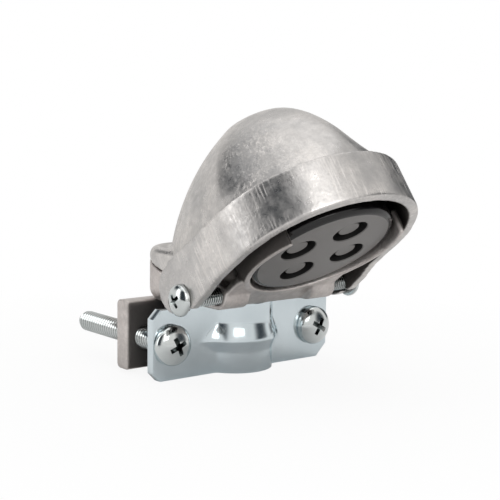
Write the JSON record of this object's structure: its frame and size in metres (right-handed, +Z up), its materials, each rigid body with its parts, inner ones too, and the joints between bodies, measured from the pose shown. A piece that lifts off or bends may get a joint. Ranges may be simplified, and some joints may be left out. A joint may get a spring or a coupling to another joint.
{
  "type": "service entrance weatherhead",
  "caption": "Hollow cast weatherhead that clamps on half-inch conduit and turns service wires downward out of the rain.",
  "frame": {"origin": "on the conduit's axis at the mid-height of the clamp", "axes": "+Z up along the conduit, -Y towards the front of the hood, +X to the right seen from the front"},
  "size_m": [0.0694, 0.1062, 0.0791],
  "materials": {
    "cast_body": "as-cast, slightly rough",
    "cast_hood": "tumbled casting with fine scratches",
    "insulator_plastic": "moulded, semi-gloss",
    "zinc_strap": "bright zinc plate",
    "zinc_screw": "bright zinc plate"
  },
  "bodies": {
    "casting": {"body": "cast_body", "insulator": "insulator_plastic"},
    "hood": {"hood": "cast_hood"},
    "strap": {"clamp_strap": "zinc_strap"},
    "clamp_screw_left": {"clamp_screw_left": "zinc_screw"},
    "clamp_screw_right": {"clamp_screw_right": "zinc_screw"},
    "hood_screw_left": {"hood_screw_left": "zinc_screw"},
    "hood_screw_right": {"hood_screw_right": "zinc_screw"}
  },
  "joints": [
    {"name": "strap_slide", "type": "slide", "parent": "casting", "child": "strap", "axis": [0, -1, 0], "range_m": [-0.01, 0.02]},
    {"name": "clamp_screw_left_turn", "type": "hinge", "parent": "strap", "child": "clamp_screw_left", "pos_m": [-0.02725, 0, 0], "axis": [0, -1, 0], "range_deg": [-2900, 5700]},
    {"name": "clamp_screw_right_turn", "type": "hinge", "parent": "strap", "child": "clamp_screw_right", "pos_m": [0.02725, 0, 0], "axis": [0, -1, 0], "range_deg": [-2900, 5700]},
    {"name": "hood_tilt", "type": "hinge", "parent": "casting", "child": "hood", "pos_m": [0, -0.0186, 0.0155], "axis": [1, 0, 0], "range_deg": [0, 17]},
    {"name": "hood_screw_left_turn", "type": "hinge", "parent": "casting", "child": "hood_screw_left", "pos_m": [-0.03325, -0.0186, 0.0155], "axis": [-1, 0, 0], "range_deg": [0, 720]},
    {"name": "hood_screw_right_turn", "type": "hinge", "parent": "casting", "child": "hood_screw_right", "pos_m": [0.02945, -0.0186, 0.0155], "axis": [1, 0, 0], "range_deg": [0, 720]}
  ],
  "couplings": [
    {"joint": "clamp_screw_left_turn", "follows": "strap_slide", "rad_per_m": 4947.4},
    {"joint": "clamp_screw_right_turn", "follows": "strap_slide", "rad_per_m": 4947.4}
  ]
}
